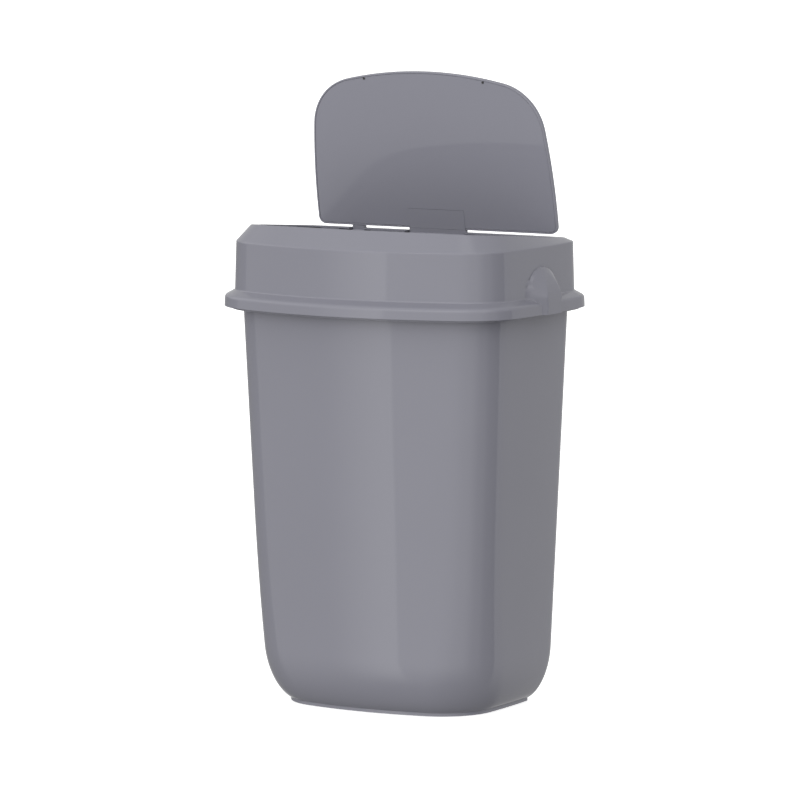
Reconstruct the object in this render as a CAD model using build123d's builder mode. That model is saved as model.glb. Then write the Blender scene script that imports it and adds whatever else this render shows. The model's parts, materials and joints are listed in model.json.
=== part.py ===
from build123d import *
import os
from math import sin, cos, tan, radians, degrees, pi, sqrt, atan2, hypot

os.makedirs("parts", exist_ok=True)

# ---------------------------------------------------------------------------
# Frame: millimetres, +Z up, -Y is the front, the lid is hinged at the rear.
# Origin: on the floor, under the middle of the rim band.
# The lid is modelled open, as it rests in the reference pose.
# ---------------------------------------------------------------------------

# ---- driving dimensions: collar (the lift-off top) ----
Z_BAND_BOTTOM = 487.6      # lower edge of the rim band
Z_BAND_TOP = 501.2         # outer top edge of the rim band
Z_WALL_BOTTOM = 508.8      # where the ledge meets the collar wall
Z_WALL_TOP = 567.0         # where the wall meets the sloped shoulder
BAND_OUT_LOW = 14.5        # how far the band stands out from the wall line
BAND_OUT_HIGH = 13.7
WALL_OUT_LOW = 1.7
COLLAR_T = 2.4             # collar wall thickness
SIDE_Y = 11.0              # the sides are widest at this depth
WALL_XS, WALL_YF, WALL_YR = 190.0, 150.8, 128.8   # measured from SIDE_Y
R_FRONT, R_SIDE, R_REAR = 417.0, 1013.0, 1430.0   # bow of front, sides, rear
WALL_R1, WALL_R2 = 66.0, 41.5                     # front and rear corners

# ---- top plane: slopes down towards the rear ----
DECK_Z0 = 580.31           # height of the plane at y = 0
DECK_K = 0.0818            # fall per mm towards the rear
DECK_ANG = atan2(DECK_K, 1.0)
RIDGE_XS, RIDGE_YF, RIDGE_YR = 176.8, 130.1, 121.7
RIDGE_R1, RIDGE_R2 = 61.7, 30.2

# ---- bin body ----
BODY_T = 2.5
Z_LIP = 494.0
Z_BODY_BOTTOM = 5.0
FLOOR_T = 2.6

# ---- lid ----
AX_Y, AX_Z = 94.7, 563.5   # lid hinge axis, along X
LEAN = radians(10.95)      # the open lid leans forward of vertical
CLOSE_DEG = 90.0 - 10.95 - degrees(DECK_ANG)
HINGE_A, HINGE_B = 11.3, 3.0   # axis behind the rear edge, below the inner face
LID_T = 6.0
LID_XS, LID_LEN = 168.3, 198.2
LID_RF, LID_RS, LID_YC, LID_R1, LID_R2 = 508.0, 886.0, 19.7, 66.6, 9.5
LID_GAP = 1.4

# ---- drive train (module 0.8, pressure angle 25) ----
MOD = 0.8
PA = radians(25.0)
N_SECTOR, N_P2, N_G2, N_P1, N_G1, N_MOT = 28, 12, 38, 12, 34, 12
CD_SLACK = 0.04


def gear_cd(n1, n2):
    return MOD * (n1 + n2) / 2.0 + CD_SLACK


TH_2 = radians(-53.0)
TH_1 = radians(-70.0)
TH_M = radians(-120.0)
G2_Y = AX_Y + gear_cd(N_SECTOR, N_P2) * cos(TH_2)
G2_Z = AX_Z + gear_cd(N_SECTOR, N_P2) * sin(TH_2)
G1_Y = G2_Y + gear_cd(N_G2, N_P1) * cos(TH_1)
G1_Z = G2_Z + gear_cd(N_G2, N_P1) * sin(TH_1)
MO_Y = G1_Y + gear_cd(N_G1, N_MOT) * cos(TH_M)
MO_Z = G1_Z + gear_cd(N_G1, N_MOT) * sin(TH_M)
AXLE_R = 1.5
SHAFT_R = 2.5
RUN = 0.05                 # radial running clearance


# ---- rear wall and deck fittings ----
DOOR_X0, DOOR_X1, DOOR_Z0, DOOR_Z1 = -136.5, -34.5, 515.0, 556.0
SWX, SWZ = 117.0, 532.0
BTN = [(98.0, 114.0), (120.0, 114.0)]
SCREW_AT = [(-134.2, 100.0), (-60.0, 91.5), (128.0, 90.8), (-28.0, 121.0), (20.0, 121.0)]
WIN_Y0, WIN_Y1 = -118.15, -115.35


# ---------------------------------------------------------------------------
# outlines
# ---------------------------------------------------------------------------
def meet(c1, ra, c2, rb, pick):
    """Crossing of two circles, the one that 'pick' ranks highest."""
    vx, vy = c2[0] - c1[0], c2[1] - c1[1]
    d = hypot(vx, vy)
    a = (ra * ra - rb * rb + d * d) / (2 * d)
    h = sqrt(max(ra * ra - a * a, 0.0))
    ux, uy = vx / d, vy / d
    q = [(c1[0] + a * ux - h * uy, c1[1] + a * uy + h * ux),
         (c1[0] + a * ux + h * uy, c1[1] + a * uy - h * ux)]
    return max(q, key=pick)


def on(c, r, a):
    return (c[0] + r * cos(a), c[1] + r * sin(a))


def plan_arcs(xs, yf, yr, r1, r2, off=0.0, rf=R_FRONT, rs=R_SIDE, rr=R_REAR, yc=SIDE_Y):
    """Eight tangent arcs round the plan: bowed front, sides and rear, round corners."""
    cf, cs, cr = (0.0, -yf + rf), (xs - rs, 0.0), (0.0, yr - rr)
    c1 = meet(cf, rf - r1, cs, rs - r1, lambda q: q[0] - q[1])
    c2 = meet(cr, rr - r2, cs, rs - r2, lambda q: q[0] + q[1])
    a1 = atan2(c1[1] - cf[1], c1[0] - cf[0])
    a2 = atan2(c1[1] - cs[1], c1[0] - cs[0])
    a3 = atan2(c2[1] - cs[1], c2[0] - cs[0])
    a4 = atan2(c2[1] - cr[1], c2[0] - cr[0])
    right = [(c1, r1 + off, a1, a2), (cs, rs + off, a2, a3), (c2, r2 + off, a3, a4)]
    out = [(on(cf, rf + off, -pi - a1), on(cf, rf + off, -pi / 2), on(cf, rf + off, a1))]
    for c, r, s, e in right:
        out.append((on(c, r, s), on(c, r, (s + e) / 2), on(c, r, e)))
    out.append((on(cr, rr + off, a4), on(cr, rr + off, pi / 2), on(cr, rr + off, pi - a4)))
    for c, r, s, e in reversed(right):
        p = [on(c, r, e), on(c, r, (s + e) / 2), on(c, r, s)]
        out.append(tuple((-q[0], q[1]) for q in p))
    pts = [(o[0][0], o[0][1] + yc) for o in out]
    res = []
    for i, o in enumerate(out):
        res.append((pts[i], (o[1][0], o[1][1] + yc), pts[(i + 1) % len(out)]))
    return res


def lid_arcs(off=0.0, r2=LID_R2):
    """Lid outline in lid coordinates: x across, u from the rear edge to the front."""
    cf, cs = (0.0, LID_LEN - LID_RF), (LID_XS - LID_RS, LID_YC)
    c1 = meet(cf, LID_RF - LID_R1, cs, LID_RS - LID_R1, lambda q: q[0] + q[1])
    a0 = atan2(c1[1] - cf[1], c1[0] - cf[0])
    a1 = atan2(c1[1] - cs[1], c1[0] - cs[0])
    yy = r2
    xx = cs[0] + sqrt((LID_RS - r2) ** 2 - (yy - cs[1]) ** 2)
    c2 = (xx, yy)
    a2 = atan2(c2[1] - cs[1], c2[0] - cs[0])
    segs = [(c2, r2 + off, -pi / 2, a2), (cs, LID_RS + off, a2, a1),
            (c1, LID_R1 + off, a1, a0)]
    out = []
    for c, r, s, e in segs:
        out.append((on(c, r, s), on(c, r, (s + e) / 2), on(c, r, e)))
    out.append((on(cf, LID_RF + off, a0), on(cf, LID_RF + off, pi / 2),
                on(cf, LID_RF + off, pi - a0)))
    for c, r, s, e in reversed(segs):
        p = [on(c, r, e), on(c, r, (s + e) / 2), on(c, r, s)]
        out.append(tuple((-q[0], q[1]) for q in p))
    pts = [o[0] for o in out] + [out[-1][2]]
    return [(pts[i], out[i][1], pts[i + 1]) for i in range(len(out))]


def draw(arcs):
    for s, m, e in arcs:
        ThreePointArc(s, m, e)


def draw_lid(off=0.0, r2=LID_R2):
    arcs = lid_arcs(off, r2)
    draw(arcs)
    Line(arcs[-1][2], arcs[0][0])


def lid_plane(ang_closed, w):
    """Plane of the lid at height w above its inner face. 0 = open, 1 = closed."""
    if ang_closed:
        u = (-cos(DECK_ANG), sin(DECK_ANG))
    else:
        u = (-sin(LEAN), cos(LEAN))
    wv = (u[1], -u[0])
    oy = AX_Y + HINGE_A * u[0] + (HINGE_B + w) * wv[0]
    oz = AX_Z + HINGE_A * u[1] + (HINGE_B + w) * wv[1]
    return Plane(origin=(0, oy, oz), x_dir=(1, 0, 0), z_dir=(0, -wv[0], -wv[1]))


def side_plane(x, ang_closed=0):
    """Plane of constant x with local axes (u, w) of the lid."""
    if ang_closed:
        u = (-cos(DECK_ANG), sin(DECK_ANG))
    else:
        u = (-sin(LEAN), cos(LEAN))
    wv = (u[1], -u[0])
    oy = AX_Y + HINGE_A * u[0] + HINGE_B * wv[0]
    oz = AX_Z + HINGE_A * u[1] + HINGE_B * wv[1]
    return Plane(origin=(x, oy, oz), x_dir=(0, u[0], u[1]), z_dir=(-1, 0, 0))


def deck_plane(d=0.0):
    """The sloped top plane, moved d along its normal."""
    n = (0.0, sin(DECK_ANG), cos(DECK_ANG))
    return Plane(origin=(0, n[1] * d, DECK_Z0 + n[2] * d), x_dir=(1, 0, 0), z_dir=n)


def yz(x):
    """Plane of constant x with local axes (Y, Z)."""
    return Plane(origin=(x, 0, 0), x_dir=(0, 1, 0), z_dir=(1, 0, 0))


def wall_plan(off):
    return plan_arcs(WALL_XS, WALL_YF, WALL_YR, WALL_R1, WALL_R2, off)


def ridge_plan(off):
    return plan_arcs(RIDGE_XS, RIDGE_YF, RIDGE_YR, RIDGE_R1, RIDGE_R2, off)


def body_plan(z, off=0.0):
    """Plan of the pail at height z: straight taper, then a long round-in at the foot."""
    h = 485.0 - z
    s = 7.5 + 0.0432 * h
    b = 6.0 + 0.0237 * h
    r1 = 66.5 + (14.5 * ((250.0 - z) / 183.0) ** 2.2 if z < 250 else 0.0)
    e = 0.0
    if z < 70.0:
        e = 35.0 * (1.0 - sqrt(max(1.0 - ((70.0 - z) / 68.0) ** 2, 0.0)))
    return plan_arcs(WALL_XS - s, WALL_YF - s, WALL_YR - b, r1, 33.0, off - e)


# ---------------------------------------------------------------------------
# gears
# ---------------------------------------------------------------------------
def gear_points(n, phase, thin=0.10, flank=4, tooth_range=None, hub=None, close_r=None):
    """Involute spur gear outline. phase is the direction of a tooth's middle."""
    rp = MOD * n / 2.0
    rb = rp * cos(PA)
    ra = rp + 0.9 * MOD
    rr = rp - 1.12 * MOD
    inv_p = tan(PA) - PA
    half = pi / (2 * n) - thin / (2 * rp)

    def half_at(r):
        if r <= rb:
            return half + inv_p
        al = sqrt(max((r / rb) ** 2 - 1.0, 0.0))
        return half + inv_p - (al - atan2(al, 1.0))

    r0 = max(rb, rr)
    radii = [r0 + (ra - r0) * i / (flank - 1) for i in range(flank)]
    pts = []
    idx = range(n) if tooth_range is None else range(tooth_range[0], tooth_range[1] + 1)
    for k in idx:
        c = phase + 2 * pi * k / n
        lo = []
        if rr < rb:
            lo.append((rr, c - half_at(rb)))
        lo += [(r, c - half_at(r)) for r in radii]
        hi = [(r, c + half_at(r)) for r in reversed(radii)]
        if rr < rb:
            hi.append((rr, c + half_at(rb)))
        pts += lo + hi
    if tooth_range is not None:
        c0 = phase + 2 * pi * tooth_range[0] / n - pi / n
        c1 = phase + 2 * pi * tooth_range[1] / n + pi / n
        pts = [(rr, c0)] + pts + [(rr, c1)]
        # back round the hub
        span = 2 * pi - (c1 - c0)
        m = 14
        for i in range(1, m):
            pts.append((hub, c1 + span * i / m))
    return [(r * cos(a), r * sin(a)) for r, a in pts]


def shifted(pts, cy, cz):
    return [(p[0] + cy, p[1] + cz) for p in pts]


# ===========================================================================
# BIN BODY
# ===========================================================================
BODY_Z = [Z_BODY_BOTTOM, 9.0, 16.0, 26.0, 40.0, 56.0, 74.0, 120.0, 200.0, 330.0]

with BuildPart() as bin_body:
    for z in BODY_Z + [Z_LIP]:
        with BuildSketch(Plane.XY.offset(z)):
            with BuildLine():
                draw(body_plan(z))
            make_face()
    loft(ruled=True)
    # rolled lip that carries the collar
    with BuildSketch(Plane.XY.offset(Z_LIP - 3.0)):
        with BuildLine():
            draw(body_plan(485.0, 14.6))
        make_face()
    extrude(amount=3.0)
    with BuildSketch(Plane.XY.offset(Z_LIP - 9.0)):
        with BuildLine():
            draw(body_plan(485.0, 14.6))
        make_face()
        with BuildLine():
            draw(body_plan(485.0, 12.2))
        make_face(mode=Mode.SUBTRACT)
    extrude(amount=7.0)
    # foot ring
    with BuildSketch(Plane.XY.offset(0.8)):
        with BuildLine():
            draw(body_plan(Z_BODY_BOTTOM, -0.8))
        make_face()
    extrude(amount=Z_BODY_BOTTOM + 2.0 - 0.8)
    # cavity
    for z in [Z_BODY_BOTTOM + FLOOR_T, 12.0, 18.0, 28.0, 42.0, 58.0, 76.0, 120.0, 200.0, 330.0, Z_LIP + 2.0]:
        with BuildSketch(Plane.XY.offset(z)):
            with BuildLine():
                draw(body_plan(max(z - 1.0, Z_BODY_BOTTOM) if z < 60 else z, -BODY_T))
            make_face()
    loft(ruled=True, mode=Mode.SUBTRACT)
    # hollow under the floor, inside the foot ring
    with BuildSketch(Plane.XY.offset(0.0)):
        with BuildLine():
            draw(body_plan(Z_BODY_BOTTOM, -7.0))
        make_face()
    extrude(amount=4.6, mode=Mode.SUBTRACT)
    # pad seats
    with BuildSketch(Plane.XY.offset(0.9)):
        with Locations((-92, -34), (92, -34), (-92, 78), (92, 78)):
            Circle(12.5)
            Circle(9.15, mode=Mode.SUBTRACT)
    extrude(amount=4.4)
    # finger gaps in the lip, under the two lift pockets
    with BuildSketch(Plane.XY.offset(Z_LIP - 12.0)):
        with Locations((194.5, 15.0), (-194.5, 15.0)):
            Rectangle(20.0, 62.0)
    extrude(amount=14.0, mode=Mode.SUBTRACT)
bin_body.part.label = "bin_body"
export_step(bin_body.part, "parts/bin_body.step")

with BuildPart() as foot_pads:
    with BuildSketch(Plane.XY):
        with Locations((-92, -34), (92, -34), (-92, 78), (92, 78)):
            Circle(9.0)
    extrude(amount=4.5)
    chamfer(foot_pads.edges().group_by(Axis.Z)[0], 0.6)
foot_pads.part.label = "foot_pads"
export_step(foot_pads.part, "parts/foot_pads.step")

# ===========================================================================
# COLLAR
# ===========================================================================
BULGE_Y = 15.0


POCKET_Z = 506.0


def arch(half, z_low, height):
    """Round-headed outline in (Y, Z), centred on the lift pocket."""
    Line((BULGE_Y - half, z_low), (BULGE_Y - half, POCKET_Z))
    EllipticalCenterArc((BULGE_Y, POCKET_Z), half, height, start_angle=0.0, arc_size=180.0)
    Line((BULGE_Y + half, POCKET_Z), (BULGE_Y + half, z_low))
    Line((BULGE_Y + half, z_low), (BULGE_Y - half, z_low))


with BuildPart() as collar_shell:
    # outside
    for z, off in [(Z_BAND_BOTTOM, BAND_OUT_LOW), (Z_BAND_TOP, BAND_OUT_HIGH),
                   (Z_WALL_BOTTOM, WALL_OUT_LOW), (Z_WALL_TOP, 0.0)]:
        with BuildSketch(Plane.XY.offset(z)):
            with BuildLine():
                draw(wall_plan(off))
            make_face()
    with BuildSketch(deck_plane(0.0)):
        with BuildLine():
            draw(ridge_plan(0.0))
        make_face()
    loft(ruled=True)
    # lift pockets: raised pointed arches on both sides
    for sgn in (1, -1):
        with BuildSketch(yz(sgn * 184.0)):
            with BuildLine():
                arch(46.6, Z_BAND_BOTTOM, 45.9)
            make_face()
        with BuildSketch(yz(sgn * 208.9)):
            with BuildLine():
                arch(18.5, Z_BAND_BOTTOM, 17.0)
            make_face()
        loft(ruled=True)
    # inside
    for z, off in [(Z_BAND_BOTTOM - 1.0, BAND_OUT_LOW - COLLAR_T),
                   (Z_BAND_TOP - 1.6, BAND_OUT_HIGH - COLLAR_T),
                   (Z_WALL_BOTTOM - 1.6, WALL_OUT_LOW - COLLAR_T - 0.1),
                   (Z_WALL_TOP - 0.9, -COLLAR_T)]:
        with BuildSketch(Plane.XY.offset(z)):
            with BuildLine():
                draw(wall_plan(off))
            make_face()
    with BuildSketch(deck_plane(-COLLAR_T)):
        with BuildLine():
            draw(ridge_plan(-0.9))
        make_face()
    loft(ruled=True, mode=Mode.SUBTRACT)
    # seat ring that rests on the lip of the body
    with BuildSketch(Plane.XY.offset(Z_LIP + 0.3)):
        with BuildLine():
            draw(wall_plan(0.6))
        make_face()
        with BuildLine():
            draw(wall_plan(-4.4))
        make_face(mode=Mode.SUBTRACT)
    extrude(amount=14.5)
    # hollow of the lift pockets, open at the bottom
    for sgn in (1, -1):
        with BuildSketch(yz(sgn * 183.0)):
            with BuildLine():
                arch(44.9, Z_BAND_BOTTOM - 1.0, 43.0)
            make_face()
        with BuildSketch(yz(sgn * 206.6)):
            with BuildLine():
                arch(18.6, Z_BAND_BOTTOM - 1.0, 16.2)
            make_face()
        loft(ruled=True, mode=Mode.SUBTRACT)
    # screw posts that hang from the rear deck
    for px, py in SCREW_AT:
        with BuildSketch(Plane.XY.offset(498.2)):
            with Locations((px, py)):
                Circle(3.6)
                Circle(1.52, mode=Mode.SUBTRACT)
        extrude(amount=DECK_Z0 - DECK_K * py - 1.2 - 498.2)
    # lid opening
    with BuildSketch(lid_plane(1, -6.0)):
        with BuildLine():
            draw_lid(LID_GAP)
        make_face()
    extrude(amount=-24.0, mode=Mode.SUBTRACT)
    # the opening is set back at the rear, where the lid's rear edge swings through
    with BuildSketch(Plane.XY.offset(560.0)):
        with Locations((0, 76.5)):
            RectangleRounded(338.4, 25.0, 9.0)
    extrude(amount=20.0, mode=Mode.SUBTRACT)
    # turned-down lip along the rear edge of the opening
    with BuildSketch(Plane.XY.offset(565.6)):
        for x0, x1 in [(-164.0, -136.6), (-92.0, -62.4), (-57.6, -43.2), (57.0, 125.6), (130.4, 164.0)]:
            with Locations(((x0 + x1) / 2, 90.2)):
                Rectangle(x1 - x0, 1.6)
    extrude(amount=6.0)
    # slots for the drive arm and the left hinge lug
    with BuildSketch(Plane.XY.offset(560.0)):
        with Locations((0, 94.0)):
            Rectangle(83.0, 21.0)
        with Locations((-112.5, 94.0)):
            Rectangle(18.6, 21.0)
    extrude(amount=20.0, mode=Mode.SUBTRACT)
    # window for the battery door, slot for the power switch, holes for the buttons
    with BuildSketch(Plane.XZ.offset(-160.0)):
        with Locations(((DOOR_X0 + DOOR_X1) / 2, (DOOR_Z0 + DOOR_Z1) / 2)):
            RectangleRounded(DOOR_X1 - DOOR_X0 + 0.8, DOOR_Z1 - DOOR_Z0 + 0.8, 4.4)
        with Locations((SWX, SWZ)):
            SlotOverall(13.0, 5.0)
    extrude(amount=45.0, mode=Mode.SUBTRACT)
    with BuildSketch(Plane.XY.offset(560.0)):
        with Locations(*BTN):
            Circle(5.3)
    extrude(amount=20.0, mode=Mode.SUBTRACT)
    with BuildSketch(Plane.XY.offset(578.0)):
        with Locations((0, (WIN_Y0 + WIN_Y1) / 2)):
            Rectangle(26.2, WIN_Y1 - WIN_Y0 + 0.2)
        with Locations((20.0, -116.7)):
            Circle(1.3)
    extrude(amount=20.0, mode=Mode.SUBTRACT)
collar_shell.part.label = "collar_shell"
export_step(collar_shell.part, "parts/collar_shell.step")

# ---- throat: lines the opening, carries the closed lid, keeps the bag edge inside ----
THROAT_DEPTH = 86.0
with BuildPart() as throat_frame:
    with BuildSketch(lid_plane(1, -3.0)):
        with BuildLine():
            draw_lid(2.7)
        make_face()
        with BuildLine():
            draw_lid(-9.0, 22.0)
        make_face(mode=Mode.SUBTRACT)
    extrude(amount=-2.2)
    with BuildSketch(lid_plane(1, -1.0)):
        with BuildLine():
            draw_lid(2.7)
        make_face()
        with BuildLine():
            draw_lid(1.5)
        make_face(mode=Mode.SUBTRACT)
    extrude(amount=-3.4)
    with BuildSketch(lid_plane(1, -3.0 - THROAT_DEPTH)):
        with BuildLine():
            draw_lid(-9.0, 22.0)
        make_face()
        with BuildLine():
            draw_lid(-11.0, 22.0)
        make_face(mode=Mode.SUBTRACT)
    extrude(amount=-(THROAT_DEPTH + 2.2))
    # clearances for the drive arm, the hinge lug and the sensor window
    with BuildSketch(Plane.XY.offset(555.0)):
        with Locations((14.5, 86.0)):
            Rectangle(112.0, 9.0)
        with Locations((-112.5, 86.0)):
            Rectangle(34.0, 9.0)
    extrude(amount=30.0, mode=Mode.SUBTRACT)
    with BuildSketch(Plane.XY.offset(568.0)):
        with Locations((4.0, -116.5)):
            Rectangle(44.0, 5.0)
    extrude(amount=26.0, mode=Mode.SUBTRACT)
throat_frame.part.label = "throat_frame"
export_step(throat_frame.part, "parts/throat_frame.step")

# ---- drive housing: tray under the rear deck ----
HX = 140.0
with BuildPart() as drive_housing:
    with BuildSketch(Plane.XY.offset(496.0)):
        with Locations((0, 102.3)):
            Rectangle(2 * HX, 50.6)
    extrude(amount=2.0)
    with BuildSketch(Plane.XY.offset(496.0)):
        with Locations((0, 78.0)):
            Rectangle(2 * HX, 2.0)
        with Locations((-HX + 1.0, 102.3), (HX - 1.0, 102.3)):
            Rectangle(2.0, 50.6)
    extrude(amount=65.0)
    with BuildSketch(Plane.XY.offset(495.0)):
        with Locations(*SCREW_AT):
            Circle(1.7)
    extrude(amount=4.0, mode=Mode.SUBTRACT)
    # bracket for the free end of the hinge shaft
    with BuildSketch(yz(-46.5)):
        with BuildLine():
            Polyline((84.0, 497.0), (84.0, 556.0), (88.5, 565.5), (94.7, 568.6), (100.9, 565.5),
                     (104.0, 556.0), (104.0, 497.0), (84.0, 497.0))
        make_face()
        with Locations((AX_Y, AX_Z)):
            Circle(SHAFT_R + RUN, mode=Mode.SUBTRACT)
    extrude(amount=4.0)
    # board pillars
    with BuildSketch(Plane.XY.offset(497.0)):
        with Locations((134.5, 99.5), (134.5, 124.5), (112.0, 86.0)):
            Circle(3.0)
    extrude(amount=50.8)
    # sensor lead passes the end wall
    with BuildSketch(yz(HX - 3.0)):
        with Locations((101.0, 556.0)):
            Rectangle(7.0, 12.0)
    extrude(amount=4.0, mode=Mode.SUBTRACT)
drive_housing.part.label = "drive_housing"
export_step(drive_housing.part, "parts/drive_housing.step")

# ---- gearbox ----
GX0, GX1 = 42.0, 66.5
with BuildPart() as gearbox_case:
    with BuildSketch(yz(GX0)):
        with BuildLine():
            Polyline((83.0, 499.0), (83.0, 566.0), (104.0, 566.0), (128.0, 562.0), (128.0, 499.0),
                     (83.0, 499.0))
        make_face()
    extrude(amount=GX1 - GX0)
    with BuildSketch(yz(GX0 + 2.5)):
        with BuildLine():
            Polyline((85.0, 501.0), (85.0, 575.0), (126.0, 575.0), (126.0, 501.0), (85.0, 501.0))
        make_face()
    extrude(amount=GX1, mode=Mode.SUBTRACT)
    with BuildSketch(yz(GX0 - 1.0)):
        with Locations((AX_Y, AX_Z)):
            Circle(SHAFT_R + RUN)
        with Locations((G2_Y, G2_Z), (G1_Y, G1_Z)):
            Circle(AXLE_R + 0.01)
    extrude(amount=5.0, mode=Mode.SUBTRACT)
    # screw posts
    with BuildSketch(yz(GX0 + 2.0)):
        with Locations((88.2, 504.2), (122.8, 504.2), (122.8, 558.0)):
            Circle(3.45)
    extrude(amount=GX1 - GX0 - 2.0)
    with BuildSketch(yz(GX0 + 10.0)):
        with Locations((88.2, 504.2), (122.8, 504.2), (122.8, 558.0)):
            Circle(1.26)
    extrude(amount=GX1, mode=Mode.SUBTRACT)
gearbox_case.part.label = "gearbox_case"
export_step(gearbox_case.part, "parts/gearbox_case.step")

with BuildPart() as gearbox_cover:
    with BuildSketch(yz(GX1)):
        with BuildLine():
            Polyline((83.0, 499.0), (83.0, 562.0), (128.0, 562.0), (128.0, 499.0), (83.0, 499.0))
        make_face()
        with Locations((MO_Y, MO_Z)):
            Circle(3.3, mode=Mode.SUBTRACT)
        with Locations((G2_Y, G2_Z), (G1_Y, G1_Z)):
            Circle(AXLE_R + 0.01, mode=Mode.SUBTRACT)
        with Locations((88.2, 504.2), (122.8, 504.2), (122.8, 558.0)):
            Circle(1.5, mode=Mode.SUBTRACT)
        with Locations((MO_Y, MO_Z + 8.0), (MO_Y, MO_Z - 8.0)):
            Circle(1.35, mode=Mode.SUBTRACT)
    extrude(amount=2.5)
gearbox_cover.part.label = "gearbox_cover"
export_step(gearbox_cover.part, "parts/gearbox_cover.step")

with BuildPart() as gearbox_screws:
    with BuildSketch(yz(GX1 + 2.55)):
        with Locations((88.2, 504.2), (122.8, 504.2), (122.8, 558.0)):
            Circle(2.6)
    extrude(amount=1.9)
    with BuildSketch(yz(GX1 - 9.0)):
        with Locations((88.2, 504.2), (122.8, 504.2), (122.8, 558.0)):
            Circle(1.24)
    extrude(amount=11.6)
    with BuildSketch(yz(GX1 + 3.4)):
        with Locations((88.2, 504.2), (122.8, 504.2), (122.8, 558.0)):
            Rectangle(3.0, 0.7)
            Rectangle(0.7, 3.0)
    extrude(amount=2.0, mode=Mode.SUBTRACT)
gearbox_screws.part.label = "gearbox_screws"
export_step(gearbox_screws.part, "parts/gearbox_screws.step")

with BuildPart() as drive_motor:
    with BuildSketch(yz(GX1 + 2.6)):
        with Locations((MO_Y, MO_Z)):
            Circle(12.5)
    extrude(amount=36.0)
    fillet(drive_motor.edges().filter_by(GeomType.CIRCLE), 1.2)
    with BuildSketch(yz(GX1 + 0.2)):
        with Locations((MO_Y, MO_Z)):
            Circle(3.1)
    extrude(amount=2.6)
    with BuildSketch(yz(GX1 + 38.5)):
        with Locations((MO_Y, MO_Z)):
            Circle(9.5)
    extrude(amount=2.2)
    with BuildSketch(yz(GX1 + 40.5)):
        with Locations((MO_Y - 5.0, MO_Z), (MO_Y + 5.0, MO_Z)):
            Rectangle(2.6, 0.8)
    extrude(amount=4.5)
    with BuildSketch(yz(GX1)):
        with Locations((MO_Y, MO_Z)):
            Circle(1.1)
    extrude(amount=9.0, mode=Mode.SUBTRACT)
    with BuildSketch(yz(GX1 + 2.0)):
        with Locations((MO_Y, MO_Z + 8.0), (MO_Y, MO_Z - 8.0)):
            Circle(1.26)
    extrude(amount=6.0, mode=Mode.SUBTRACT)
drive_motor.part.label = "drive_motor"
export_step(drive_motor.part, "parts/drive_motor.step")

with BuildPart() as motor_screws:
    with BuildSketch(yz(GX1 - 1.3)):
        with Locations((MO_Y, MO_Z + 8.0), (MO_Y, MO_Z - 8.0)):
            Circle(2.2)
    extrude(amount=1.25)
    with BuildSketch(yz(GX1 - 0.2)):
        with Locations((MO_Y, MO_Z + 8.0), (MO_Y, MO_Z - 8.0)):
            Circle(1.24)
    extrude(amount=6.5)
motor_screws.part.label = "motor_screws"
export_step(motor_screws.part, "parts/motor_screws.step")

# gear phases: a tooth of the driven gear points at the next axis, where that one has a gap
PH_S = TH_2
PH_P2 = TH_2 + pi + pi / N_P2
PH_G2 = TH_1
PH_P1 = TH_1 + pi + pi / N_P1
PH_G1 = TH_M
PH_M = TH_M + pi + pi / N_MOT

with BuildPart() as sector_gear:
    with BuildSketch(yz(46.0)):
        with BuildLine():
            Polyline(*shifted(gear_points(N_SECTOR, PH_S, tooth_range=(-6, 0), hub=5.2), AX_Y, AX_Z), close=True)
        make_face()
        with Locations((AX_Y, AX_Z)):
            Circle(SHAFT_R + 0.01, mode=Mode.SUBTRACT)
    extrude(amount=6.0)
sector_gear.part.label = "sector_gear"
export_step(sector_gear.part, "parts/sector_gear.step")

with BuildPart() as reduction_gear_2:
    with BuildSketch(yz(45.5)):
        with BuildLine():
            Polyline(*shifted(gear_points(N_P2, PH_P2), G2_Y, G2_Z), close=True)
        make_face()
    extrude(amount=8.5)
    with BuildSketch(yz(53.5)):
        with BuildLine():
            Polyline(*shifted(gear_points(N_G2, PH_G2), G2_Y, G2_Z), close=True)
        make_face()
    extrude(amount=5.0)
    with BuildSketch(yz(45.0)):
        with Locations((G2_Y, G2_Z)):
            Circle(AXLE_R + RUN)
    extrude(amount=20.0, mode=Mode.SUBTRACT)
reduction_gear_2.part.label = "reduction_gear_2"
export_step(reduction_gear_2.part, "parts/reduction_gear_2.step")

with BuildPart() as reduction_gear_1:
    with BuildSketch(yz(53.2)):
        with BuildLine():
            Polyline(*shifted(gear_points(N_P1, PH_P1), G1_Y, G1_Z), close=True)
        make_face()
    extrude(amount=7.0)
    with BuildSketch(yz(60.0)):
        with BuildLine():
            Polyline(*shifted(gear_points(N_G1, PH_G1), G1_Y, G1_Z), close=True)
        make_face()
    extrude(amount=4.5)
    with BuildSketch(yz(50.0)):
        with Locations((G1_Y, G1_Z)):
            Circle(AXLE_R + RUN)
    extrude(amount=20.0, mode=Mode.SUBTRACT)
reduction_gear_1.part.label = "reduction_gear_1"
export_step(reduction_gear_1.part, "parts/reduction_gear_1.step")

with BuildPart() as motor_pinion:
    with BuildSketch(yz(59.6)):
        with BuildLine():
            Polyline(*shifted(gear_points(N_MOT, PH_M), MO_Y, MO_Z), close=True)
        make_face()
    extrude(amount=5.3)
    with BuildSketch(yz(59.0)):
        with Locations((MO_Y, MO_Z)):
            Circle(1.0)
    extrude(amount=14.5)
motor_pinion.part.label = "motor_pinion"
export_step(motor_pinion.part, "parts/motor_pinion.step")

with BuildPart() as gear_axles:
    with BuildSketch(yz(42.3)):
        with Locations((G2_Y, G2_Z), (G1_Y, G1_Z)):
            Circle(AXLE_R)
    extrude(amount=26.4)
gear_axles.part.label = "gear_axles"
export_step(gear_axles.part, "parts/gear_axles.step")

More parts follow.
